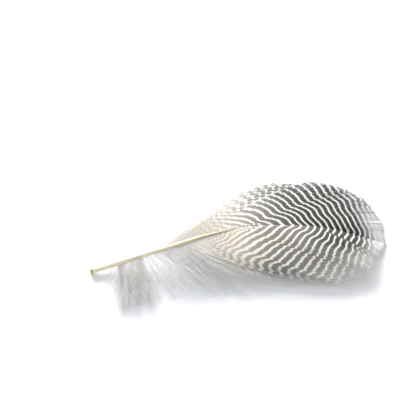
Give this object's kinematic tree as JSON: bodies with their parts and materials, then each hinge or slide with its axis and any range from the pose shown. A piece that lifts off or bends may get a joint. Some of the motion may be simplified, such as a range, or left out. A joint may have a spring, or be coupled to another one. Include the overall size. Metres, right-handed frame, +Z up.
{
  "type": "teal flank feather",
  "caption": "Barred duck flank feather lying dome side up, with a cut hollow quill, two vanes and loose down, for fly dressing, craft or set dressing.",
  "frame": {"origin": "middle of the feather's footprint, on the surface it lies on", "axes": "+X from the cut quill to the tip, +Y towards the far vane, +Z up out of the domed side"},
  "size_m": [0.0622, 0.031, 0.0048],
  "materials": {
    "barbs": "fine barbs with dark and white bars, satin",
    "quill": "smooth ivory keratin, semi-gloss",
    "down": "soft white and grey down, matte"
  },
  "bodies": {
    "root": {"feather": "barbs"}
  },
  "joints": []
}
